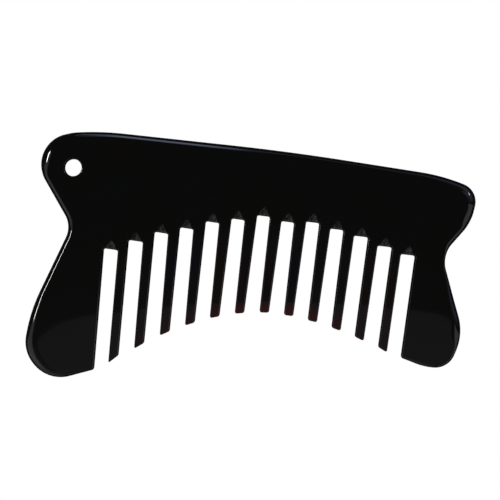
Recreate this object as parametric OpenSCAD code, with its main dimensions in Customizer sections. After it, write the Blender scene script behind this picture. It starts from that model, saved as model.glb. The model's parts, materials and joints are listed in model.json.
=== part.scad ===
// Wide-toothed beard comb, sawn and ground from one plate of polished black horn.
//
// Frame: the comb lies flat on z = 0. X runs along the spine and Y from the tooth tips to the spine,
// both measured from the middle of the comb. The plate's mid plane is half its thickness up.
//
// The comb is one piece. Its regions are separate solids that meet face to face: the spine holds
// everything above the slot roots, and each guard and tooth hangs from it.

/* [Plate] */
// Thickness of the plate along the spine
plate_t = 4.4; // [3.8:0.1:5.4]
// Width, seen from above, of the rounded outer edge
edge_w = 2.1; // [1.2:0.1:2.4]
// Steps from the top face round the outer edge to the bottom face
edge_steps = 8; // [4:2:10]
// Steps in each corner of the outline
corner_steps = 6; // [3:1:8]

/* [Teeth] */
// Distance from one tooth to the next along the x axis
tooth_pitch = 7.14; // [7:0.01:7.2]
// Where the middle of the row of teeth crosses the x axis
row_x = 2.5; // [2:0.1:3]
// Width of a tooth at its tip
tip_w = 2.75; // [2.4:0.05:2.8]
// Width that a middle tooth gains for each millimetre from its tip to its root
tooth_taper = 0.028; // [0.022:0.002:0.03]
// Change of lean from one tooth to the next, in degrees
fan_step = 0.27; // [0.2:0.01:0.32]
// Tooth that stands upright, counted from the left
upright_tooth = 8.3; // [7:0.1:9]
// Radius of the rounded corners at a tooth's tip
tip_corner_r = 0.7; // [0.2:0.1:0.9]

/* [Arcs] */
// Centre of the two arcs on the x axis
arc_x = 12.6; // [11:0.1:14]
// How far the centre of the two arcs lies below the x axis
arc_drop = 82.6; // [80:0.1:85]
// Radius of the arc that the slot roots follow
root_arc_r = 99.3; // [97:0.1:101]
// Radius of the arc that the tooth tips follow
tip_arc_r = 71.8; // [70:0.1:74]

/* [Grinding] */
// Thickness of the comb at the tips of the outer teeth
tip_t = 2.1; // [1.6:0.1:3]
// Facets from full thickness down to the tips
grind_steps = 5; // [2:1:8]

/* [Saw run-outs] */
// Radius of the V-edged disc that leaves the pointed groove above each slot
disc_r = 8; // [6:0.5:12]
// Depth of the groove at the slot root
groove_depth = 0.45; // [0.2:0.05:0.6]
// Width of the groove at the slot root
groove_w = 2.8; // [2:0.1:3.4]

/* [Hanging hole] */
// Diameter of the hole
hole_d = 5; // [3:0.5:6]
// Place of the hole along the spine
hole_x = -54.1; // [-55:0.1:-53]
// Place of the hole across the spine
hole_y = 24.3; // [23:0.1:25]

/* [Hidden] */
tooth_count = 12;

slot_count = tooth_count + 1;
row_middle = (tooth_count + 1) / 2;
arc_centre = [arc_x, -arc_drop];
// Centre of the broad arcs that the grinding follows, and their radii where it starts and where the
// outer teeth end
grind_centre = [45.3, -269];
grind_start_r = 288;
grind_end_r = 252;
// How far past a surface a cutting shape reaches
reach = 2;
// A size larger than the comb
far = 90;
// Least radius that a corner keeps when the outline moves inwards
least_r = 0.4;
// Width that a guard's inner wall counts as its own part of the row of teeth
guard_tooth_w = 3.1;
// Taper that a tooth loses for the square of its distance from the row's middle, in teeth
taper_fall = 0.0009;
// Distance from the arcs' centre at which the pointed corner of a slanted tip would be sharp
sharp_tip_x = 80;
horn = [0.07, 0.06, 0.06];
horn_tip = [0.2, 0.11, 0.09];

// Hand-sawn spread, left to right: of the slot roots and of the tooth tips about their arcs, in
// millimetres, and of the slot walls about their fan, in degrees, with a guard's wall at each end
root_spread = [0.7, -0.1, -0.2, -0.7, -0.1, 0.1, 1, -0.3, 0.5, -0.1, -0.2, -0.6, 0];
tip_spread = [0, -0.8, -0.6, -0.3, 0.1, 0.4, 0.5, 0.2, -0.2, -0.5, -0.6, -0.2];
lean_spread = [0.3, 0.1, 0.3, 0.4, 0.3, -0.2, -0.4, -0.3, -0.1, -0.2, 0, -0.2, 0.1, 0.2];

// Corners of the outline with the radius of each, clockwise from the spine's middle
corners = [
    [[7, 36.7], 700],       // crown of the spine
    [[52.3, 35.3], 58],
    [[63.6, 32.4], 5.5],    // right shoulder
    [[62.6, 22.9], 14],
    [[55.2, 12.2], 8],      // right waist
    [[64.3, -9.6], 15],     // right guard
    [[61.2, -20.3], 6],
    [[54, -20.5], 17.5],
    [[46, -18.45], 1],      // toe of the right guard
    [[-39.8, -32.7], 1],    // toe of the left guard
    [[-53.7, -38.3], 10],
    [[-62, -30.5], 10],
    [[-61.4, -18.7], 48],   // left guard
    [[-52.6, 7.4], 7],      // left waist
    [[-69.1, 29.6], 9],
    [[-55.5, 34.4], 11.5],  // left shoulder
    [[-47.4, 35.8], 85]
];

function tooth_name(i) = str("tooth_", i < 10 ? "0" : "", i);
function unit(v) = v / norm(v);
function direction(a) = [cos(a), sin(a)];
function rotated(v, a) = [v.x * cos(a) - v.y * sin(a), v.x * sin(a) + v.y * cos(a)];

// A polygon, listed clockwise as [corner, radius] pairs, with its corners rounded. It can be moved
// inwards by inset: each corner moves along its mitre and keeps its own arc. Radius 0 stays sharp.
function inward(v) = [v.y, -v.x];
function mitre(arriving, leaving) =
    (inward(arriving) + inward(leaving)) / (1 + arriving * leaving);
function corner_arc(last, corner, next, radius, inset) =
    let (
        arriving = unit(corner - last),
        leaving = unit(next - corner),
        bend = arriving.x * leaving.y - arriving.y * leaving.x,
        side = bend < 0 ? 1 : -1,
        arc_r = max(radius - side * inset, least_r),
        centre = corner + (inset + side * arc_r) * mitre(arriving, leaving),
        turn = acos(arriving * leaving) / corner_steps
    )
    [for (k = [0:corner_steps]) centre - side * arc_r * rotated(inward(arriving), -side * turn * k)];
function rounded(corners, inset = 0) =
    let (n = len(corners))
    [for (i = [0:n - 1])
        each corners[i][1] == 0
            ? [corners[i][0]]
            : corner_arc(corners[(i + n - 1) % n][0], corners[i][0], corners[(i + 1) % n][0],
                corners[i][1], inset)];

// A tooth's frame, and its width at a distance s up its middle line. Tooth 0 and the tooth after
// the last are parts of the guards, whose inner walls don't taper.
function lean(i) = (upright_tooth - i) * fan_step + lean_spread[i];
function along(i) = direction(lean(i) + 90);
function across(i) = direction(lean(i));
function tooth_foot(i) = [row_x + (i - row_middle) * tooth_pitch, 0];
function in_guard(i) = i < 1 || i > tooth_count;
function taper(i) = tooth_taper - taper_fall * pow(i - row_middle, 2);
function tooth_w(i, s) = in_guard(i) ? guard_tooth_w : tip_w + taper(i) * (s - middle_tip_s(i));
function wall(i, side, s) = tooth_foot(i) + s * along(i) + side * tooth_w(i, s) / 2 * across(i);

// Height of an arc about the arcs' centre at x, the slot roots' heights, and the tips' heights.
function arc_height(x, radius) = sqrt(pow(radius, 2) - pow(x - arc_centre.x, 2)) + arc_centre.y;
function root_s(slot) = arc_height((tooth_foot(slot - 1).x + tooth_foot(slot).x) / 2, root_arc_r)
    + root_spread[slot - 1];
function middle_tip_s(i) = arc_height(tooth_foot(i).x, tip_arc_r) + tip_spread[i - 1];
function tip_s(i, side) = arc_height(wall(i, side, middle_tip_s(i)).x, tip_arc_r)
    + tip_spread[i - 1];
function tip_r(i, side) = tip_corner_r * (1 - side * (tooth_foot(i).x - arc_x) / sharp_tip_x);

// Slot roots: slot 1 lies between the left guard and tooth 1.
function root_left(slot) = wall(slot - 1, 1, root_s(slot));
function root_right(slot) = wall(slot, -1, root_s(slot));
function root_line() = [for (slot = [1:slot_count]) each [root_left(slot), root_right(slot)]];

// The plate with its rounded outer edge, before sawing and grinding.
module blank() {
    rings = [for (k = [0:edge_steps])
        let (a = -90 + 180 * k / edge_steps, z = plate_t / 2 * (1 + sin(a)))
        [for (p = rounded(corners, edge_w * (1 - cos(a)))) [p.x, p.y, z]]];
    n = len(rings[0]);
    points = [for (ring = rings) each ring];
    bottom = [[for (j = [0:n - 1]) n - 1 - j]];
    top = [[for (j = [0:n - 1]) edge_steps * n + j]];
    sides = [for (k = [0:edge_steps - 1], j = [0:n - 1])
        [k * n + j, k * n + (j + 1) % n, (k + 1) * n + (j + 1) % n, (k + 1) * n + j]];
    polyhedron(points, concat(bottom, sides, top));
}

// What the grinding wheel takes off both faces, from near the slot roots down to the tips.
module grinding() {
    function fall(u) = (plate_t - tip_t) / 2 * pow(u, 2);
    function radius(u) = grind_start_r - u * (grind_start_r - grind_end_r);
    last_u = 1.3;
    for (flip = [0, 1])
        translate([grind_centre.x, grind_centre.y, plate_t / 2])
            mirror([0, 0, flip])
                rotate_extrude($fn = 240)
                    polygon(concat(
                        [for (k = [0:grind_steps])
                            let (u = last_u * k / grind_steps) [radius(u), plate_t / 2 - fall(u)]],
                        [[radius(last_u), plate_t / 2 + reach], [radius(0), plate_t / 2 + reach]]));
}

// Everything above the slot roots, as a tall prism.
module above_roots() {
    roots = root_line();
    linear_extrude(plate_t + 2 * reach, center = true)
        polygon(concat([[-far, roots[0].y]], roots,
            [[far, roots[len(roots) - 1].y], [far, far], [-far, far]]));
}

// Everything beside the row of teeth and below the slot roots, on one side.
module beside_teeth(wall_top, wall_bottom, edge_x) {
    linear_extrude(plate_t + 2 * reach, center = true)
        polygon([wall_top, wall_bottom, [edge_x, wall_bottom.y], [edge_x, wall_top.y]]);
}

// The pointed groove that the V-edged disc leaves where a slot ends, on both faces.
module run_out(slot) {
    half_w = groove_w / 2;
    middle = (root_left(slot) + root_right(slot)) / 2;
    for (flip = [0, 1])
        translate([middle.x, middle.y, plate_t / 2])
            rotate((lean(slot - 1) + lean(slot)) / 2)
                mirror([0, 0, flip])
                    translate([0, 0, plate_t / 2 + disc_r - groove_depth])
                        for (side = [0, 1])
                            mirror([side, 0, 0])
                                rotate([0, 90, 0])
                                    cylinder(h = 2 * half_w, r1 = disc_r,
                                        r2 = disc_r - 2 * groove_depth, $fn = 64);
}

module spine() {
    color(horn)
        difference() {
            intersection() {
                blank();
                translate([0, 0, plate_t / 2])
                    above_roots();
            }
            grinding();
            for (slot = [1:slot_count])
                run_out(slot);
            translate([hole_x, hole_y, -reach])
                cylinder(h = plate_t + 2 * reach, d = hole_d, $fn = 48);
        }
}

module guard(wall_top, wall_bottom, edge_x) {
    color(horn)
        difference() {
            intersection() {
                blank();
                translate([0, 0, plate_t / 2])
                    beside_teeth(wall_top, wall_bottom, edge_x);
            }
            grinding();
        }
}

module left_guard() {
    guard(root_left(1), wall(0, 1, -far), -far);
}

module right_guard() {
    guard(root_right(slot_count), wall(slot_count, -1, -far), far);
}

// A tooth's top edge runs from one slot's root to the next one's, and the tip arc cuts its tip.
function tooth_corners(i) = [
    [root_right(i), 0],
    [root_left(i + 1), 0],
    [wall(i, 1, tip_s(i, 1)), tip_r(i, 1)],
    [wall(i, -1, tip_s(i, -1)), tip_r(i, -1)]
];

module tooth(i) {
    color(horn_tip)
        difference() {
            linear_extrude(plate_t)
                polygon(rounded(tooth_corners(i)));
            grinding();
        }
}

spine();
left_guard();
right_guard();
for (i = [1:tooth_count])
    tooth(i);
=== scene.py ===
import json
import math
from collections import namedtuple

import bpy
import numpy as np
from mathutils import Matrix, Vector
from mathutils.geometry import delaunay_2d_cdt

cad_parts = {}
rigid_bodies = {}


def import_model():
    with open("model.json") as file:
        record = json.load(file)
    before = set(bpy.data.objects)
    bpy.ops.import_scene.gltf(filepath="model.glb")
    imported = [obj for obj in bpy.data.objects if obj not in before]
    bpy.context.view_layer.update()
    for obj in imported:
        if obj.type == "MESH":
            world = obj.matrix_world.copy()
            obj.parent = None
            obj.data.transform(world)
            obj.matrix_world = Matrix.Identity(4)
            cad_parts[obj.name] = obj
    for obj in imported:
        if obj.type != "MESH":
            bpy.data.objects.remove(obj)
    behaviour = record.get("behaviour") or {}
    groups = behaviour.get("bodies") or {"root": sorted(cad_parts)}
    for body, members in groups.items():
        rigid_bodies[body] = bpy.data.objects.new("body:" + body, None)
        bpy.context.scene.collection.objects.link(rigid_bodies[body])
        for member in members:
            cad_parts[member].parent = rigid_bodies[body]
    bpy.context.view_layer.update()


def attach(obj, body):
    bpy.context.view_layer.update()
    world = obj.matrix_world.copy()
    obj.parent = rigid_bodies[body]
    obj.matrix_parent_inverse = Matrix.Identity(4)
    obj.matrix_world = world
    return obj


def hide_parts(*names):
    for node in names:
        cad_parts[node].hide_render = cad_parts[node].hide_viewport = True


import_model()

MM = 0.001

# ---- The comb's design, as in its CAD ----

# Thickness of the plate, and of the comb at the tips of the outer teeth
PLATE_T = 4.4
TIP_T = 2.1
# The row of teeth: its count and pitch, and where its middle crosses the x axis
TOOTH_COUNT = 12
SLOT_COUNT = TOOTH_COUNT + 1
ROW_MIDDLE = (TOOTH_COUNT + 1) / 2
TOOTH_PITCH = 7.14
ROW_X = 2.5
# A tooth's width at its tip, what it gains for each millimetre to its root, and what that gain loses for
# the square of the tooth's distance from the row's middle
TIP_W = 2.75
TOOTH_TAPER = 0.028
TAPER_FALL = 0.0009
# Width by which a guard counts as a tooth, from its inner wall to that tooth's far side
GUARD_TOOTH_W = 3.1
# Change of lean from one tooth to the next, in degrees, and the tooth that stands upright
FAN_STEP = 0.27
UPRIGHT_TOOTH = 8.3
# The arcs that the slot roots and the tooth tips follow
ARC_CENTRE = np.array([12.6, -82.6])
ROOT_ARC_R = 99.3
TIP_ARC_R = 71.8
# The broad arcs that the grinding follows, where it starts and where the outer teeth end
GRIND_CENTRE = np.array([45.3, -269.0])
GRIND_START_R = 288.0
GRIND_END_R = 252.0
# Hand-sawn spread, left to right: of the slot roots and the tooth tips about their arcs, in millimetres,
# and of the slot walls about their fan, in degrees, with a guard's wall at each end
ROOT_SPREAD = [0.7, -0.1, -0.2, -0.7, -0.1, 0.1, 1, -0.3, 0.5, -0.1, -0.2, -0.6, 0]
TIP_SPREAD = [0, -0.8, -0.6, -0.3, 0.1, 0.4, 0.5, 0.2, -0.2, -0.5, -0.6, -0.2]
LEAN_SPREAD = [0.3, 0.1, 0.3, 0.4, 0.3, -0.2, -0.4, -0.3, -0.1, -0.2, 0, -0.2, 0.1, 0.2]
# Distance from the arcs' centre at which the pointed corner of a slanted tip would be sharp
SHARP_TIP_X = 80.0
# The V-edged disc that leaves the run-outs, and its groove at the slot root
DISC_R = 8.0
GROOVE_DEPTH = 0.45
GROOVE_W = 2.8
RUN_OUT_SLOPE = 2 * GROOVE_DEPTH / GROOVE_W
# The hanging hole
HOLE_CENTRE = np.array([-54.1, 24.3])
HOLE_R = 2.5

# Corners of the outer outline, clockwise from the left guard's toe to the right guard's: each one's place,
# its radius and the width of the rounded band there. Three widths are those where its arc starts, half way
# and ends.
LEFT_TOE = (-39.8, -32.7)
RIGHT_TOE = (46.0, -18.45)
OUTLINE = [
    ((-53.7, -38.3), 10.0, (1.9, 2.2, 3.2)),
    ((-62.0, -30.5), 10.0, (3.4, 3.6, 3.4)),
    ((-61.4, -18.7), 48.0, (3.1, 2.4, 1.8)),    # left guard
    ((-52.6, 7.4), 7.0, 1.7),                   # left waist
    ((-69.1, 29.6), 9.0, (1.6, 4.4, 2.3)),
    ((-55.5, 34.4), 11.5, 2.1),                 # left shoulder
    ((-47.4, 35.8), 85.0, 1.8),
    ((7.0, 36.7), 700.0, 1.9),                  # crown of the spine
    ((52.3, 35.3), 58.0, 2.1),
    ((63.6, 32.4), 5.5, 3.0),                   # right shoulder
    ((62.6, 22.9), 14.0, (2.6, 2.8, 1.5)),
    ((55.2, 12.2), 8.0, (1.5, 0.6, 0.8)),       # right waist
    ((64.3, -9.6), 15.0, (2.4, 2.9, 1.0)),      # right guard
    ((61.2, -20.3), 6.0, 0.9),
    ((54.0, -20.5), 17.5, 1.2),
]

# ---- How the edges are rounded ----

# Width of the rounded band, seen from above, at the guards' toes, slot walls, tooth tips and hole
TOE_BAND = 0.7
WALL_BAND = 0.45
TIP_BAND = 0.6
HOLE_BAND = 0.35
# Radius, seen from above, of the corners at the slot roots, tooth tips and guards' toes
ROOT_CORNER_R = 0.55
TIP_CORNER_R = 0.7
TOE_R = 1.0
# How far a band falls for its width, and the most of a tip corner's radius that its band takes
BAND_STEEPNESS = 1.05
BAND_IN_CORNER = 0.8
# Half height of the upright wall that the bands leave at the least
LEAST_WALL = 0.02
# Angles of the rings in a band, from the wall to the face
BAND_ANGLES = [math.radians(a) for a in (0, 14, 28, 40, 50, 60, 69, 77, 84, 90)]
RINGS = len(BAND_ANGLES)

# ---- How finely the skins are divided ----

# Longest steps round a corner and along a straight stretch of the edge
ARC_STEP_ANGLE = math.radians(4)
ARC_STEP = 1.5
LEAST_ARC_STEPS = 3
STRAIGHT_STEP = 1.3
HOLE_STEPS = 64
# Steps across the cuts where the guards and the teeth meet the spine
LEFT_CUT_STEPS = 8
RIGHT_CUT_STEPS = 7
TOOTH_CUT_STEPS = 4
# Steps up each side of a run-out's arch and up its middle line
ARCH_STEPS = 8
CREASE_STEPS = 5
# Spacing of the vertices inside the faces, and the parts of it that they keep clear of edges and creases
SPINE_SPACING = 3.0
GUARD_SPACING = 1.5
EDGE_MARGIN = 0.6
CREASE_MARGIN = 0.4
# A waist is looked for beyond WAIST_X from the middle and within WAIST_REACH of the cut's height
WAIST_X = 50.0
WAIST_REACH = 3.0
# Amounts below which something counts as nothing: the gap between a run-out's column and the end of its
# stretch, the distance between two vertices of a face, a run-out's depth, twice a triangle's area in a
# face, and the same for a triangle in a cap
LEAST_STEP = 0.01
MERGE_DISTANCE = 1e-5
LEAST_DEPTH = 1e-6
LEAST_AREA = 1e-9
LEAST_CROSS = 1e-12


def unit(v):
    return v / np.linalg.norm(v)


def smooth(t):
    return t * t * (3 - 2 * t)


def right_of(v):
    return np.array([v[1], -v[0]])


def turned(v, a):
    return np.array([v[0] * math.cos(a) - v[1] * math.sin(a), v[0] * math.sin(a) + v[1] * math.cos(a)])


# ---- Teeth and slots ----
# Tooth 0 and the tooth after the last are parts of the guards. Slot 1 lies between tooth 0 and tooth 1.


def lean(i):
    return math.radians((UPRIGHT_TOOTH - i) * FAN_STEP + LEAN_SPREAD[i])


def along(i):
    return np.array([-math.sin(lean(i)), math.cos(lean(i))])


def across(i):
    return np.array([math.cos(lean(i)), math.sin(lean(i))])


def tooth_foot(i):
    return np.array([ROW_X + (i - ROW_MIDDLE) * TOOTH_PITCH, 0.0])


def arc_height(x, radius):
    """Height at x of an arc about the arcs' centre."""
    return math.sqrt(radius**2 - (x - ARC_CENTRE[0]) ** 2) + ARC_CENTRE[1]


def middle_tip_s(i):
    """How far up its middle line a tooth's tip lies. The line starts on the x axis."""
    return arc_height(tooth_foot(i)[0], TIP_ARC_R) + TIP_SPREAD[i - 1]


def tooth_w(i, s):
    """Width of a tooth at a distance s up its middle line."""
    if i < 1 or i > TOOTH_COUNT:
        return GUARD_TOOTH_W
    taper = TOOTH_TAPER - TAPER_FALL * (i - ROW_MIDDLE) ** 2
    return TIP_W + taper * (s - middle_tip_s(i))


def wall(i, side, s):
    """The place on a tooth's wall at a distance s up its middle line. Side 1 is its right, -1 its left."""
    return tooth_foot(i) + s * along(i) + side * tooth_w(i, s) / 2 * across(i)


def tip_s(i, side):
    return arc_height(wall(i, side, middle_tip_s(i))[0], TIP_ARC_R) + TIP_SPREAD[i - 1]


def tip_r(i, side):
    return TIP_CORNER_R * (1 - side * (tooth_foot(i)[0] - ARC_CENTRE[0]) / SHARP_TIP_X)


def root_s(slot):
    middle_x = (tooth_foot(slot - 1)[0] + tooth_foot(slot)[0]) / 2
    return arc_height(middle_x, ROOT_ARC_R) + ROOT_SPREAD[slot - 1]


def crossing(p, d, q, e):
    """The point where the line through p along d meets the line through q along e."""
    t = ((q[0] - p[0]) * e[1] - (q[1] - p[1]) * e[0]) / (d[0] * e[1] - d[1] * e[0])
    return p + t * d


# ---- The edge: one clockwise loop of columns ----


class Corner:
    """A corner of the edge's outline. Those at a slot's root also have a kind and the slot's number."""

    def __init__(self, point, radius, band, kind="", slot=0):
        self.point = np.array(point, float)
        self.radius = radius
        self.bands = band if isinstance(band, tuple) else (band, band, band)
        self.kind = kind
        self.slot = slot

    def band_at(self, t):
        """Width of the rounded band at part t of the corner's arc."""
        half = 0 if t < 0.5 else 1
        share = smooth(2 * t - half)
        return self.bands[half] * (1 - share) + self.bands[half + 1] * share


class Edge:
    """Columns of the comb's edge: each one's place, inward normal and width of the rounded band."""

    def __init__(self):
        self.place, self.inward, self.band = [], [], []

    def add(self, place, inward, band):
        self.place.append(place)
        self.inward.append(inward)
        self.band.append(band)
        return len(self.place) - 1

    def freeze(self):
        self.place = np.array(self.place)
        self.inward = np.array(self.inward)
        self.band = np.array(self.band)
        return self


def guard_toe(i, side, toe, neighbour):
    """The corner where a guard's inner wall meets the line from its toe to the outline's next corner."""
    below = np.array(neighbour) - toe
    point = crossing(wall(i, side, 0), along(i), np.array(toe), below)
    return Corner(point, TOE_R, TOE_BAND)


def comb_corners():
    corners = [Corner(*item) for item in OUTLINE]
    corners.append(guard_toe(TOOTH_COUNT + 1, -1, RIGHT_TOE, OUTLINE[-1][0]))
    for slot in range(SLOT_COUNT, 0, -1):
        right = wall(slot, -1, root_s(slot))
        left = wall(slot - 1, 1, root_s(slot))
        corners.append(Corner(right, ROOT_CORNER_R, WALL_BAND, "root_right", slot))
        corners.append(Corner(left, ROOT_CORNER_R, WALL_BAND, "root_left", slot))
        if slot > 1:
            i = slot - 1
            for side in (1, -1):
                radius = tip_r(i, side)
                band = min(TIP_BAND, BAND_IN_CORNER * radius)
                corners.append(Corner(wall(i, side, tip_s(i, side)), radius, band))
    corners.append(guard_toe(0, 1, LEFT_TOE, OUTLINE[0][0]))
    return corners


def run_out_marks(length):
    """Where a run-out's sides, quarters and middle line meet the closed end of its slot."""
    half = GROOVE_W / 2
    offsets = (-half, -half / 2, 0, half / 2, half)
    return [length / 2 + p for p in offsets if abs(p) < length / 2 - LEAST_STEP]


def even_marks(length):
    count = max(1, math.ceil(length / STRAIGHT_STEP))
    return [length * j / count for j in range(1, count)]


def edge_columns(corners):
    """The edge's columns, and for each corner the first and last column of its arc."""
    edge = Edge()
    arcs = []
    n = len(corners)
    for i, corner in enumerate(corners):
        following = corners[(i + 1) % n]
        arriving = unit(corner.point - corners[i - 1].point)
        leaving = unit(following.point - corner.point)
        side = 1 if arriving[0] * leaving[1] - arriving[1] * leaving[0] < 0 else -1
        turn = math.acos(np.clip(arriving @ leaving, -1, 1))
        mitre = (right_of(arriving) + right_of(leaving)) / (1 + arriving @ leaving)
        centre = corner.point + side * corner.radius * mitre
        by_angle = math.ceil(turn / ARC_STEP_ANGLE)
        by_length = math.ceil(turn * corner.radius / ARC_STEP)
        steps = max(LEAST_ARC_STEPS, by_angle, by_length)
        steps += steps % 2
        ids = []
        for k in range(steps + 1):
            inward = turned(right_of(arriving), -side * turn * k / steps)
            place = centre - side * corner.radius * inward
            ids.append(edge.add(place, inward, corner.band_at(k / steps)))
        arcs.append((ids[0], ids[-1]))
        next_leaving = unit(corners[(i + 2) % n].point - following.point)
        next_turn = math.acos(np.clip(leaving @ next_leaving, -1, 1))
        start = edge.place[-1]
        end = following.point - leaving * following.radius * math.tan(next_turn / 2)
        length = float((end - start) @ leaving)
        marks = run_out_marks(length) if corner.kind == "root_right" else even_marks(length)
        for mark in marks:
            t = smooth(mark / length)
            band = corner.bands[2] * (1 - t) + following.bands[0] * t
            edge.add(start + mark * leaving, right_of(leaving), band)
    return edge.freeze(), arcs


# ---- The faces: half thickness, its slope, and the saw run-outs ----


class RunOut:
    """The pointed groove above a slot, with p measured across the slot and q up from its root."""

    def __init__(self, slot):
        self.origin = (wall(slot, -1, root_s(slot)) + wall(slot - 1, 1, root_s(slot))) / 2
        a = (lean(slot) + lean(slot - 1)) / 2
        self.p_axis = np.array([math.cos(a), math.sin(a)])
        self.q_axis = np.array([-math.sin(a), math.cos(a)])

    def local(self, xy):
        """The p and q of each place."""
        return (xy - self.origin) @ self.p_axis, (xy - self.origin) @ self.q_axis

    def depth(self, xy):
        """How deep the disc cuts below the face, negative outside the groove."""
        p, q = self.local(xy)
        radius = np.maximum(DISC_R - RUN_OUT_SLOPE * np.abs(p), 0)
        return GROOVE_DEPTH - DISC_R + np.sqrt(np.maximum(radius**2 - q**2, 0))

    def slope(self, xy, side):
        """Rise of the groove's facet on that side, as a gradient in x and y."""
        p, q = self.local(xy)
        radius = DISC_R - RUN_OUT_SLOPE * side * p
        root = np.sqrt(radius**2 - q**2)
        dp, dq = RUN_OUT_SLOPE * side * radius / root, q / root
        return dp[:, None] * self.p_axis + dq[:, None] * self.q_axis

    def place(self, p, q):
        return self.origin + p * self.p_axis + q * self.q_axis


RUN_OUTS = [RunOut(slot) for slot in range(1, SLOT_COUNT + 1)]


def grinding_depth(xy):
    """How far the grinding has gone, from 0 where it starts to 1 at the tips of the outer teeth, and each
    place's distance from the grinding's centre."""
    rho = np.linalg.norm(xy - GRIND_CENTRE, axis=1)
    return np.maximum((GRIND_START_R - rho) / (GRIND_START_R - GRIND_END_R), 0), rho


def half_thickness(xy):
    """Height of the face above the plate's middle."""
    u, _ = grinding_depth(xy)
    height = PLATE_T / 2 - (PLATE_T - TIP_T) / 2 * u**2
    cut = np.max([r.depth(xy) for r in RUN_OUTS], axis=0)
    return height - np.maximum(cut, 0)


def face_region(xy):
    """For each place, the run-out that it lies in (or -1), and the side of its middle line."""
    depths = np.array([r.depth(xy) for r in RUN_OUTS])
    region = np.where(depths.max(0) > LEAST_DEPTH, depths.argmax(0), -1)
    side = np.ones(len(xy))
    for k in np.flatnonzero(region >= 0):
        p, _ = RUN_OUTS[region[k]].local(xy[k])
        side[k] = math.copysign(1.0, p)
    return region, side


def face_slope(xy, region, side):
    """Gradient of the half thickness, with each place in its own region."""
    u, rho = grinding_depth(xy)
    rise = (PLATE_T - TIP_T) * u / (GRIND_START_R - GRIND_END_R)
    slope = rise[:, None] * (xy - GRIND_CENTRE) / rho[:, None]
    for r in np.unique(region[region >= 0]):
        here = region == r
        slope[here] += RUN_OUTS[r].slope(xy[here], side[here])
    return slope


# ---- Skins ----

# Places of the two finishes in every skin's list of materials
POLISHED = 0
SAWN = 1


class Skin:
    """A closed mesh with a normal for every face corner. Places with the same name share a vertex."""

    def __init__(self):
        self.ids, self.points = {}, []
        self.faces, self.normals, self.finishes = [], [], []

    def vertex(self, name, point):
        if name not in self.ids:
            self.ids[name] = len(self.points)
            self.points.append(point)
        return self.ids[name]

    def face(self, ids, normals, finish=POLISHED):
        self.faces.append(ids)
        self.normals.extend(normals)
        self.finishes.append(finish)

    def flat_face(self, ids):
        a, b, c = (np.array(self.points[i]) for i in ids[:3])
        normal = np.cross(b - a, c - a)
        size = np.linalg.norm(normal)
        if size < LEAST_CROSS:
            d = np.array(self.points[ids[3]])
            normal = np.cross(c - a, d - a)
            size = np.linalg.norm(normal)
        self.face(ids, [normal / max(size, LEAST_CROSS)] * len(ids))

    def to_object(self, name):
        mesh = bpy.data.meshes.new(name)
        mesh.from_pydata([[c * MM for c in p] for p in self.points], [], self.faces)
        mesh.polygons.foreach_set("use_smooth", [True] * len(mesh.polygons))
        mesh.normals_split_custom_set([tuple(n) for n in self.normals])
        mesh.polygons.foreach_set("material_index", self.finishes)
        mesh.update()
        obj = bpy.data.objects.new(name, mesh)
        bpy.context.scene.collection.objects.link(obj)
        return obj


class Bands:
    """The rounded bands along a loop of edge columns, from the wall (ring 0) to the face."""

    def __init__(self, edge, label):
        self.label = label
        self.inward = edge.inward
        self.band = edge.band
        cosines = np.cos(BAND_ANGLES)
        inset = edge.band[:, None] * (1 - cosines)[None]
        self.xy = edge.place[:, None] + edge.inward[:, None] * inset[..., None]
        flat = self.xy.reshape(-1, 2)
        height = half_thickness(flat).reshape(inset.shape)
        self.rise = np.minimum(edge.band[:, None] * BAND_STEEPNESS, height - LEAST_WALL)
        self.z = height - self.rise + self.rise * np.sin(BAND_ANGLES)[None]

    def ring_vertex(self, skin, column, ring, up):
        x, y = self.xy[column, ring]
        z = PLATE_T / 2 + (1 if up else -1) * self.z[column, ring]
        return skin.vertex((self.label, column, ring, up), (x, y, z))

    def corner_normal(self, column, ring, slope, up):
        a = BAND_ANGLES[ring]
        steep = self.rise[column, ring] / self.band[column] * math.cos(a)
        flat = -steep * self.inward[column] - math.sin(a) * slope
        return unit(np.array([flat[0], flat[1], math.sin(a) if up else -math.sin(a)]))

    def strip(self, skin, first, second):
        """The bands and the wall between two neighbouring columns."""
        quads = [((first, k), (first, k + 1), (second, k + 1), (second, k)) for k in range(RINGS - 1)]
        middles = np.array([np.mean([self.xy[c] for c in quad], axis=0) for quad in quads])
        region, side = face_region(middles)
        for quad, r, s in zip(quads, region, side):
            xy = np.array([self.xy[c] for c in quad])
            slopes = face_slope(xy, np.full(4, r), np.full(4, s))
            for up in (True, False):
                ids = [self.ring_vertex(skin, *c, up) for c in quad]
                normals = [self.corner_normal(*c, slope, up) for c, slope in zip(quad, slopes)]
                if up:
                    skin.face(ids, normals)
                else:
                    skin.face(ids[::-1], normals[::-1])
        upright = ((first, False), (first, True), (second, True), (second, False))
        outward = [np.append(-self.inward[c], 0) for c, _ in upright]
        skin.face([self.ring_vertex(skin, c, 0, up) for c, up in upright], outward)

    def rim(self, column):
        """The name and place of a column's inmost ring."""
        return (self.label, column, RINGS - 1), self.xy[column, -1]


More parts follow.
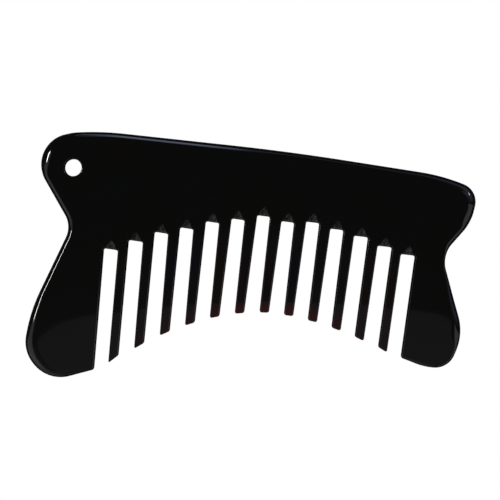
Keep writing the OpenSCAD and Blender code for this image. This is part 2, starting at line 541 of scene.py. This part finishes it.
class CutLine:
    """Where two regions of the comb meet, between two edge columns."""

    def __init__(self, bands, start, end, count):
        self.bands, self.start, self.end = bands, start, end
        a, b = bands.xy[start, -1], bands.xy[end, -1]
        self.xy = np.array([a + (b - a) * k / count for k in range(1, count)])
        self.z = half_thickness(self.xy)

    def spots(self):
        """The names and places of the vertices along the cut, between its two ends."""
        return [(("cut", self.start, self.end, k), self.xy[k]) for k in range(len(self.xy))]

    def path(self, skin, up):
        """Vertices along the cut on one face, from the edge at its start to the edge at its end."""
        rings = range(RINGS)
        middle = []
        for (name, (x, y)), half in zip(self.spots(), self.z):
            z = PLATE_T / 2 + (1 if up else -1) * half
            middle.append(skin.vertex(name + (up,), (x, y, z)))
        return ([self.bands.ring_vertex(skin, self.start, k, up) for k in rings]
                + middle
                + [self.bands.ring_vertex(skin, self.end, k, up) for k in reversed(rings)])

    def cap(self, skin, forward):
        top, bottom = self.path(skin, True), self.path(skin, False)
        if not forward:
            top, bottom = top[::-1], bottom[::-1]
        for k in range(len(top) - 1):
            skin.flat_face([bottom[k], top[k], top[k + 1], bottom[k + 1]])


def inside(points, loops):
    """Whether each point lies inside the loops, by the even-odd rule."""
    result = np.zeros(len(points), bool)
    for loop in loops:
        for (x1, y1), (x2, y2) in zip(loop, np.roll(loop, -1, axis=0)):
            if y1 == y2:
                continue
            straddles = (y1 > points[:, 1]) != (y2 > points[:, 1])
            x = x1 + (points[:, 1] - y1) * (x2 - x1) / (y2 - y1)
            result ^= straddles & (points[:, 0] < x)
    return result


def face_triangles(places, edges, outlines):
    """Triangles between the places, inside the outlines and along the edges, counter-clockwise."""
    out = delaunay_2d_cdt([Vector(p) for p in places], edges, [], 0, MERGE_DISTANCE)
    back = [origin[0] for origin in out[3]]
    xy = np.array(places)
    triangles = np.array([[back[v] for v in triangle] for triangle in out[2]])
    triangles = triangles[inside(xy[triangles].mean(axis=1), outlines)]
    a, b, c = (xy[triangles[:, k]] for k in range(3))
    area = (b[:, 0] - a[:, 0]) * (c[:, 1] - a[:, 1]) - (b[:, 1] - a[:, 1]) * (c[:, 0] - a[:, 0])
    triangles[area < 0] = triangles[area < 0][:, ::-1]
    return triangles[np.abs(area) > LEAST_AREA]


def fill_faces(skin, loops, creases, spots):
    """Fills the face inside the loops of (name, xy), top and bottom, with its normals.

    creases are chains of (name, xy) that edges must follow, and spots are single (name, xy)."""
    names, places, index = [], [], {}

    def note(name, xy):
        if name not in index:
            index[name] = len(names)
            names.append(name)
            places.append(np.array(xy, float))
        return index[name]

    edges = []
    for loop in loops:
        ids = [note(*item) for item in loop]
        edges += list(zip(ids, ids[1:] + ids[:1]))
    for chain in creases:
        ids = [note(*item) for item in chain]
        edges += list(zip(ids, ids[1:]))
    for item in spots:
        note(*item)
    outlines = [np.array([xy for _, xy in loop]) for loop in loops]
    triangles = face_triangles(places, edges, outlines)
    xy = np.array(places)
    height = half_thickness(xy)
    region, side = face_region(xy[triangles].mean(axis=1))
    for triangle, r, s in zip(triangles, region, side):
        finish = SAWN if r >= 0 else POLISHED
        slopes = face_slope(xy[triangle], np.full(3, r), np.full(3, s))
        for up in (True, False):
            ids, normals = [], []
            for v, slope in zip(triangle, slopes):
                z = PLATE_T / 2 + (1 if up else -1) * height[v]
                ids.append(skin.vertex(names[v] + (up,), (xy[v][0], xy[v][1], z)))
                normals.append(unit(np.array([-slope[0], -slope[1], 1.0 if up else -1.0])))
            if up:
                skin.face(ids, normals, finish)
            else:
                skin.face(ids[::-1], normals[::-1], finish)


def grid_spots(loops, spacing, margin):
    """Places on a grid inside the loops, clear of them by the margin."""
    points = np.concatenate(loops)
    low, high = points.min(0), points.max(0)
    xs = np.arange(math.ceil(low[0] / spacing), high[0] / spacing) * spacing
    ys = np.arange(math.ceil(low[1] / spacing), high[1] / spacing) * spacing
    grid = np.array([(x, y) for x in xs for y in ys])
    grid = grid[inside(grid, loops)]
    gap = np.array([np.min(np.linalg.norm(points - g, axis=1)) for g in grid])
    return [(("grid", x, y), (x, y)) for x, y in grid[gap > margin]]


def region_skin(bands, runs, cuts, hole=None, run_outs=(), spacing=None):
    """The closed skin of one region: runs of edge columns joined by cut lines, in clockwise order."""
    skin = Skin()
    total = len(bands.band)
    loop = []
    for (first, last), (cut, forward) in zip(runs, cuts):
        columns = [first]
        while columns[-1] != last:
            columns.append((columns[-1] + 1) % total)
        for a, b in zip(columns, columns[1:]):
            bands.strip(skin, a, b)
        loop += [bands.rim(c) for c in columns]
        loop += cut.spots() if forward else cut.spots()[::-1]
        cut.cap(skin, forward)
    loops = [loop]
    if hole is not None:
        count = len(hole.band)
        for c in range(count):
            hole.strip(skin, c, (c + 1) % count)
        loops.append([hole.rim(c) for c in range(count)])
    creases = []
    for index in run_outs:
        creases += run_out_creases(bands, index)
    spots = []
    if spacing:
        outlines = [np.array([xy for _, xy in item]) for item in loops]
        spots = grid_spots(outlines, spacing, spacing * EDGE_MARGIN)
    if creases:
        points = np.array([xy for chain in creases for _, xy in chain])
        margin = spacing * CREASE_MARGIN
        spots = [s for s in spots if np.min(np.linalg.norm(points - s[1], axis=1)) > margin]
    fill_faces(skin, loops, creases, spots)
    return skin


def run_out_creases(bands, index):
    """The two sides of a run-out's pointed arch and its middle line, from the band's inmost ring."""
    run_out = RUN_OUTS[index]
    p, q = run_out.local(bands.xy[:, -1])
    top = math.sqrt(DISC_R**2 - (DISC_R - GROOVE_DEPTH) ** 2)
    apex = (("arch", index, "apex"), run_out.place(0, top))

    def start(target):
        """The column whose inmost ring lies nearest to that distance across the slot's root."""
        return int(np.argmin(np.hypot(p - target, q - WALL_BAND)))

    def arch(side):
        column = start(side * GROOVE_W / 2)
        chain = [bands.rim(column)]
        for k in range(1, ARCH_STEPS):
            up = q[column] + (top - q[column]) * k / ARCH_STEPS
            out = side * (DISC_R - math.sqrt((DISC_R - GROOVE_DEPTH) ** 2 + up**2)) / RUN_OUT_SLOPE
            chain.append((("arch", index, side, k), run_out.place(out, up)))
        return chain + [apex]

    column = start(0.0)
    middle = [bands.rim(column)]
    for k in range(1, CREASE_STEPS):
        up = q[column] + (top - q[column]) * k / CREASE_STEPS
        middle.append((("crease", index, k), run_out.place(0, up)))
    return [arch(-1), arch(1), middle + [apex]]


def hole_edge():
    edge = Edge()
    for k in range(HOLE_STEPS):
        a = 2 * math.pi * k / HOLE_STEPS
        inward = np.array([math.cos(a), math.sin(a)])
        edge.add(HOLE_CENTRE + HOLE_R * inward, inward, HOLE_BAND)
    return edge.freeze()


def comb_skins():
    corners = comb_corners()
    edge, arcs = edge_columns(corners)
    bands = Bands(edge, "edge")
    hole = Bands(hole_edge(), "hole")
    arc_of = {(c.kind, c.slot): arc for c, arc in zip(corners, arcs)}
    slots = range(1, SLOT_COUNT + 1)
    wall_top_right = {slot: arc_of["root_right", slot][0] for slot in slots}
    wall_top_left = {slot: arc_of["root_left", slot][1] for slot in slots}

    def waist(side, column):
        """The edge column of the waist on that side at the height of another column."""
        off = np.abs(edge.place[:, 1] - edge.place[column][1])
        near = (side * edge.place[:, 0] > WAIST_X) & (off < WAIST_REACH)
        return int(np.argmin(np.where(near, off, np.inf)))

    left_top, right_top = wall_top_left[1], wall_top_right[SLOT_COUNT]
    left_waist, right_waist = waist(-1, left_top), waist(1, right_top)
    left_cut = CutLine(bands, left_top, left_waist, LEFT_CUT_STEPS)
    right_cut = CutLine(bands, right_waist, right_top, RIGHT_CUT_STEPS)
    tooth_cuts = {}
    for i in range(1, TOOTH_COUNT + 1):
        tooth_cuts[i] = CutLine(bands, wall_top_left[i + 1], wall_top_right[i], TOOTH_CUT_STEPS)

    runs = [(left_waist, right_waist)]
    cuts = [(right_cut, True)]
    for slot in reversed(slots):
        runs.append((wall_top_right[slot], wall_top_left[slot]))
        cuts.append((tooth_cuts[slot - 1] if slot > 1 else left_cut, True))
    skins = {
        "spine": region_skin(bands, runs, cuts, hole, range(SLOT_COUNT), SPINE_SPACING),
        "left_guard": region_skin(
            bands, [(left_top, left_waist)], [(left_cut, False)], spacing=GUARD_SPACING),
        "right_guard": region_skin(
            bands, [(right_waist, right_top)], [(right_cut, False)], spacing=GUARD_SPACING),
    }
    for i, cut in tooth_cuts.items():
        skins[f"tooth_{i:02d}"] = region_skin(bands, [(cut.start, cut.end)], [(cut, False)])
    return skins


# ---- Shader graphs ----


class Graph:
    """A tree of shader nodes. A value is a number, a tuple or another node's output."""

    def __init__(self, owner):
        owner.use_nodes = True
        self.nodes = owner.node_tree.nodes
        self.links = owner.node_tree.links

    def set(self, socket, value):
        if isinstance(value, (int, float, tuple)):
            socket.default_value = value
        else:
            self.links.new(value, socket)

    def node(self, kind, *values, **settings):
        """A new node with those settings, and with its first inputs set to the values."""
        node = self.nodes.new("ShaderNode" + kind)
        for name, value in settings.items():
            setattr(node, name, value)
        for socket, value in zip(node.inputs, values):
            self.set(socket, value)
        return node

    def math(self, operation, *values):
        return self.node("Math", *values, operation=operation).outputs[0]

    def ramp(self, value, low, high, to_low=0.0, to_high=1.0):
        """A smooth step from to_low where the value is low to to_high where it is high."""
        node = self.node("MapRange", value, low, high, to_low, to_high, interpolation_type="SMOOTHSTEP")
        return node.outputs["Result"]

    def noise(self, place, per_metre, detail, stretch=(1, 1, 1)):
        mapping = self.node("Mapping", place)
        mapping.inputs["Scale"].default_value = stretch
        node = self.node("TexNoise", mapping.outputs[0])
        node.inputs["Scale"].default_value = per_metre
        node.inputs["Detail"].default_value = detail
        return node.outputs["Fac"]

    def blend(self, factor, first, second):
        node = self.node("Mix", data_type="RGBA")
        self.set(node.inputs["Factor"], factor)
        self.set(node.inputs["A"], first)
        self.set(node.inputs["B"], second)
        return node.outputs["Result"]

    def bump(self, height, depth):
        node = self.node("Bump")
        node.inputs["Strength"].default_value = 1.0
        node.inputs["Distance"].default_value = depth * MM
        self.set(node.inputs["Height"], height)
        return node.outputs[0]


# ---- Horn, polished and sawn ----

WHITE = (1, 1, 1, 1)
HORN_IOR = 1.54
BODY_BLACK = (0.0044, 0.0047, 0.0048, 1)
BODY_OLIVE = (0.0046, 0.0046, 0.0038, 1)
BODY_BROWN = (0.0052, 0.0044, 0.004, 1)
TOOTH_BROWN = (0.0085, 0.006, 0.0055, 1)
TOOTH_SLATE = (0.0055, 0.005, 0.0068, 1)
TIP_RED = (0.053, 0.004, 0.0045, 1)

# Patches and streaks from noise: features to a metre, detail, and stretch along x, y and z. Then the noise
# where they begin and where they are full, and their strength (for the polish, its roughness) at both.
Patches = namedtuple("Patches", "per_metre detail stretch low high faint full")
OLIVE_PATCHES = Patches(60, 3, (1, 1, 1), 0.4, 0.65, 0.0, 1.0)
BROWN_STREAKS = Patches(90, 4, (0.25, 2.5, 1), 0.45, 0.75, 0.0, 0.8)
SLATE_PATCHES = Patches(130, 2, (1, 0.5, 1), 0.38, 0.62, 0.0, 1.0)
RED_PATCHES = Patches(75, 1, (1, 0.3, 1), 0.3, 0.62, 0.5, 1.0)
POLISH_STREAKS = Patches(700, 3, (0.2, 3, 1), 0.35, 0.75, 0.02, 0.045)
# Gentle waves that the polishing leaves in the surface
WAVES_PER_METRE = 110
WAVE_DETAIL = 1
WAVE_DEPTH = 0.01

# The teeth's colours lie between these places on the x axis, which have soft edges, and grow from the arc
# of the slot roots over ROOT_FADE
ROW_LEFT = -40.0
ROW_RIGHT = 46.0
ROW_BLUR = 0.2
ROOT_FADE = 6.0
# Distances from the arcs' centre at which the tips' red begins, up the teeth, and at which it is full
RED_BEGINS_R = 77.0
RED_FULL_R = 72.0
# The red is full within RED_CORE of its middle and falls to LEAST_RED at RED_REACH from it
REDDEST_X = 4.0
RED_CORE = 4.0
RED_REACH = 37.0
LEAST_RED = 0.12

SAWN_DARK = (0.002, 0.0019, 0.0018, 1)
SAWN_PALE = (0.05, 0.048, 0.045, 1)
SAWN_SHINE = 0.14
SAW_MARKS_PER_METRE = 1500
SAW_MARK_DETAIL = 3.0
SAW_MARK_STRETCH = (1, 0.45, 1)
SAW_MARK_DEPTH = 0.12
# The noise where the saw marks are dark and pale, and the roughness at noise 0 and 1
SAWN_DARK_AT = 0.42
SAWN_PALE_AT = 0.68
SAWN_SMOOTH = 0.2
SAWN_ROUGH = 0.55


def new_material(name):
    material = bpy.data.materials.new(name)
    graph = Graph(material)
    return material, graph, graph.nodes["Principled BSDF"]


def horn_material():
    """Black horn: a dark body with faint brown streaks, thin tooth ends that let red light through, and a
    polish with fine marks. The nodes measure in metres."""
    material, graph, shader = new_material("polished_horn")
    place = graph.node("TexCoord").outputs["Object"]
    split = graph.node("SeparateXYZ", place)
    x, y = split.outputs["X"], split.outputs["Y"]

    def patches(kind):
        value = graph.noise(place, kind.per_metre, kind.detail, kind.stretch)
        return graph.ramp(value, kind.low, kind.high, kind.faint, kind.full)

    # How far a place is from the arcs' centre tells how far down its tooth it lies
    centre = (ARC_CENTRE[0] * MM, ARC_CENTRE[1] * MM, 0)
    flat = graph.node("CombineXYZ", x, y).outputs[0]
    rho = graph.node("VectorMath", flat, centre, operation="DISTANCE").outputs["Value"]
    past_left = graph.ramp(x, (ROW_LEFT - ROW_BLUR) * MM, (ROW_LEFT + ROW_BLUR) * MM)
    past_right = graph.ramp(x, (ROW_RIGHT + ROW_BLUR) * MM, (ROW_RIGHT - ROW_BLUR) * MM)
    in_row = graph.math("MULTIPLY", past_left, past_right)
    tip = graph.math("MULTIPLY", in_row, graph.ramp(rho, RED_BEGINS_R * MM, RED_FULL_R * MM))
    below_roots = graph.ramp(rho, ROOT_ARC_R * MM, (ROOT_ARC_R - ROOT_FADE) * MM)
    tooth = graph.math("MULTIPLY", in_row, below_roots)

    body = graph.blend(patches(OLIVE_PATCHES), BODY_BLACK, BODY_OLIVE)
    body = graph.blend(patches(BROWN_STREAKS), body, BODY_BROWN)
    toothy = graph.blend(patches(SLATE_PATCHES), TOOTH_BROWN, TOOTH_SLATE)
    colour = graph.blend(tooth, body, toothy)
    off_middle = graph.math("ABSOLUTE", graph.math("SUBTRACT", x, REDDEST_X * MM))
    red = graph.math("MULTIPLY", tip, graph.ramp(off_middle, RED_CORE * MM, RED_REACH * MM, 1.0, LEAST_RED))
    red = graph.math("MULTIPLY", red, patches(RED_PATCHES))
    graph.set(shader.inputs["Base Color"], graph.blend(red, colour, TIP_RED))

    shader.inputs["IOR"].default_value = HORN_IOR
    graph.set(shader.inputs["Roughness"], patches(POLISH_STREAKS))
    waves = graph.noise(place, WAVES_PER_METRE, WAVE_DETAIL)
    graph.set(shader.inputs["Normal"], graph.bump(waves, WAVE_DEPTH))
    return material


def sawn_material():
    """Horn as the saw leaves it: duller and greyer than the polished faces, with fine marks in it."""
    material, graph, shader = new_material("sawn_horn")
    place = graph.node("TexCoord").outputs["Object"]
    marks = graph.noise(place, SAW_MARKS_PER_METRE, SAW_MARK_DETAIL, SAW_MARK_STRETCH)
    colours = graph.node("ValToRGB", marks)
    dark, pale = colours.color_ramp.elements
    dark.position, dark.color = SAWN_DARK_AT, SAWN_DARK
    pale.position, pale.color = SAWN_PALE_AT, SAWN_PALE
    graph.set(shader.inputs["Base Color"], colours.outputs["Color"])
    roughness = graph.node("MapRange", marks, 0.0, 1.0, SAWN_SMOOTH, SAWN_ROUGH)
    graph.set(shader.inputs["Roughness"], roughness.outputs["Result"])
    shader.inputs["IOR"].default_value = HORN_IOR
    shader.inputs["Specular IOR Level"].default_value = SAWN_SHINE
    graph.set(shader.inputs["Normal"], graph.bump(marks, SAW_MARK_DEPTH))
    return material


# ---- Floor ----

FLOOR_GAP = 0.05
FLOOR_HALF_SIZE = 3000.0
FLOOR_GREY = (0.03, 0.03, 0.03, 1)
FLOOR_ROUGHNESS = 0.9
CONTACT_RAY = 0.3


def make_floor():
    """A level floor just below the comb: white to the camera, and nearly black in reflections.

    It is clear from below, and to rays shorter than CONTACT_RAY, which start on the comb's flat underside.
    So a view from below shows the underside, lit by the studio's mirror image."""
    s, z = FLOOR_HALF_SIZE * MM, -FLOOR_GAP * MM
    mesh = bpy.data.meshes.new("floor")
    mesh.from_pydata([(-s, -s, z), (s, -s, z), (s, s, z), (-s, s, z)], [], [(0, 1, 2, 3)])
    floor = bpy.data.objects.new("floor", mesh)
    bpy.context.scene.collection.objects.link(floor)
    material, graph, shader = new_material("pale_floor")
    shader.inputs["Base Color"].default_value = FLOOR_GREY
    shader.inputs["Roughness"].default_value = FLOOR_ROUGHNESS
    glow = graph.node("Emission", WHITE, 1.0)
    path = graph.node("LightPath")
    seen = graph.node("MixShader", path.outputs["Is Camera Ray"], shader.outputs[0], glow.outputs[0])
    near = graph.math("LESS_THAN", path.outputs["Ray Length"], CONTACT_RAY * MM)
    clear = graph.math("MAXIMUM", graph.node("NewGeometry").outputs["Backfacing"], near)
    through = graph.node("BsdfTransparent")
    surface = graph.node("MixShader", clear, seen.outputs[0], through.outputs[0])
    graph.set(graph.nodes["Material Output"].inputs["Surface"], surface.outputs[0])
    mesh.materials.append(material)


# ---- Studio ----

# The studio's light panels hang in a level plane one unit above the comb. Each one has its centre, its size
# and its turn in that plane, in degrees, the width of its soft edge, its brightness and its colour. A panel
# with a cut also loses its corners, by that much in x and y. The same panels hang below the horizon as a
# mirror image, and the camera sees plain white instead of them.
WARM_WHITE = (1.0, 0.97, 0.94)
COOL_WHITE = (0.62, 0.68, 1.0)
NEUTRAL = (1.0, 1.0, 1.03)
AMBIENT = 0.023
Panel = namedtuple("Panel", "centre size turn soft brightness colour cut", defaults=[None])
PANELS = [
    # White line along the left guard, and the sliver on the left shoulder
    Panel((-1.03, 0.22), (0.14, 0.42), 0, 0.06, 46.0, WARM_WHITE),
    # Line along the spine, and its broader start on the left
    Panel((-0.15, 1.9), (0.19, 2.2), 1, 0.08, 2.2, COOL_WHITE),
    Panel((-0.58, 3.6), (0.62, 3.4), 13, 0.15, 1.3, COOL_WHITE),
    # Spot on the right shoulder, and the soft patch inside it
    Panel((1.1, 0.85), (0.2, 0.24), 0, 0.04, 24.0, WARM_WHITE),
    Panel((0.36, 0.36), (0.24, 0.24), 45, 0.2, 0.5, COOL_WHITE),
    # Dim light from the top right
    Panel((1.75, 2.6), (3.0, 4.4), 8, 0.7, 0.5, COOL_WHITE),
    # Rim of the left guard, from the left and from below
    Panel((-1.7, -0.75), (2.6, 1.3), 20, 0.1, 0.46, WARM_WHITE),
    Panel((-1.2, -3.3), (2.4, 5.2), 0, 1.6, 0.45, WARM_WHITE),
    # Rim of the right guard, from the right and, dimly, from below
    Panel((3.4, -1.09), (5.8, 1.9), -3, 0.03, 0.55, WARM_WHITE),
    Panel((0.8, -2.9), (2.4, 2.6), 0, 0.4, 0.1, WARM_WHITE),
    # Lighter ground areas of both guards
    Panel((0.034, -0.355), (0.147, 0.5), 4, 0.003, 0.08, NEUTRAL, (0.007, 0.022)),
]
# Directions nearer to the horizon than this meet no panel
HORIZON = 0.05
# Keeps the division by a direction's height from reaching zero
LEAST_LEVEL = 0.01


def panel_limits(graph, panel, across, along):
    """The distances from a panel's middle lines that have to stay below a limit, each with that limit."""
    half_x, half_y = panel.size[0] / 2, panel.size[1] / 2
    limits = [(across, half_x), (along, half_y)]
    if panel.cut:
        cut_x, cut_y = panel.cut
        slant = math.hypot(cut_x, cut_y)
        share_x = graph.math("MULTIPLY", across, cut_y / slant)
        share_y = graph.math("MULTIPLY", along, cut_x / slant)
        limit = ((half_x - cut_x) * cut_y + half_y * cut_x) / slant
        limits.append((graph.math("ADD", share_x, share_y), limit))
    return limits


def make_studio():
    world = bpy.data.worlds.new("studio")
    bpy.context.scene.world = world
    graph = Graph(world)
    direction = graph.node("TexCoord").outputs["Generated"]
    split = graph.node("SeparateXYZ", direction)
    level = graph.math("ABSOLUTE", split.outputs["Z"])
    height = graph.math("MAXIMUM", level, LEAST_LEVEL)
    spot_x = graph.math("DIVIDE", split.outputs["X"], height)
    spot_y = graph.math("DIVIDE", split.outputs["Y"], height)
    spot = graph.node("CombineXYZ", spot_x, spot_y).outputs[0]
    off_horizon = graph.math("GREATER_THAN", level, HORIZON)

    total = graph.node("CombineXYZ", AMBIENT, AMBIENT, AMBIENT).outputs[0]
    for panel in PANELS:
        place = graph.node("Mapping", spot, vector_type="TEXTURE")
        place.inputs["Location"].default_value = (*panel.centre, 0)
        place.inputs["Rotation"].default_value = (0, 0, math.radians(panel.turn))
        local = graph.node("SeparateXYZ", place.outputs[0])
        across = graph.math("ABSOLUTE", local.outputs["X"])
        along = graph.math("ABSOLUTE", local.outputs["Y"])
        strength = graph.math("MULTIPLY", off_horizon, panel.brightness)
        for value, limit in panel_limits(graph, panel, across, along):
            inside_limit = graph.ramp(value, limit + panel.soft / 2, limit - panel.soft / 2)
            strength = graph.math("MULTIPLY", strength, inside_limit)
        light = graph.node("VectorMath", panel.colour, operation="SCALE")
        graph.set(light.inputs["Scale"], strength)
        total = graph.node("VectorMath", total, light.outputs[0], operation="ADD").outputs[0]
    camera_ray = graph.node("LightPath").outputs["Is Camera Ray"]
    graph.set(graph.nodes["Background"].inputs["Color"], graph.blend(camera_ray, total, WHITE))


# ---- Camera ----

# The camera hangs straight above the comb, a little off its middle, and turned against it in degrees. Its
# height and the picture's width are measured at the middle of the plate's thickness.
CAMERA_HEIGHT = 670.0
CAMERA_OFFSET = (-0.24, 6.91)
CAMERA_TURN = 7.1
FRAME_WIDTH = 145.3
SENSOR_WIDTH = 36
NEAREST_SEEN = 10.0


def make_camera():
    data = bpy.data.cameras.new("camera")
    data.sensor_width = SENSOR_WIDTH
    data.lens = SENSOR_WIDTH * CAMERA_HEIGHT / FRAME_WIDTH
    data.clip_start = NEAREST_SEEN * MM
    camera = bpy.data.objects.new("camera", data)
    camera.location = (CAMERA_OFFSET[0] * MM, CAMERA_OFFSET[1] * MM, (PLATE_T / 2 + CAMERA_HEIGHT) * MM)
    camera.rotation_euler = (0, 0, math.radians(CAMERA_TURN))
    bpy.context.scene.collection.objects.link(camera)
    bpy.context.scene.camera = camera


make_camera()
make_studio()
make_floor()

horn = horn_material()
sawn_horn = sawn_material()
for name, skin in comb_skins().items():
    piece = skin.to_object("horn_" + name)
    piece.data.materials.append(horn)
    piece.data.materials.append(sawn_horn)
    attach(piece, "root")
    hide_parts(name)

bpy.context.scene.view_settings.view_transform = "Standard"
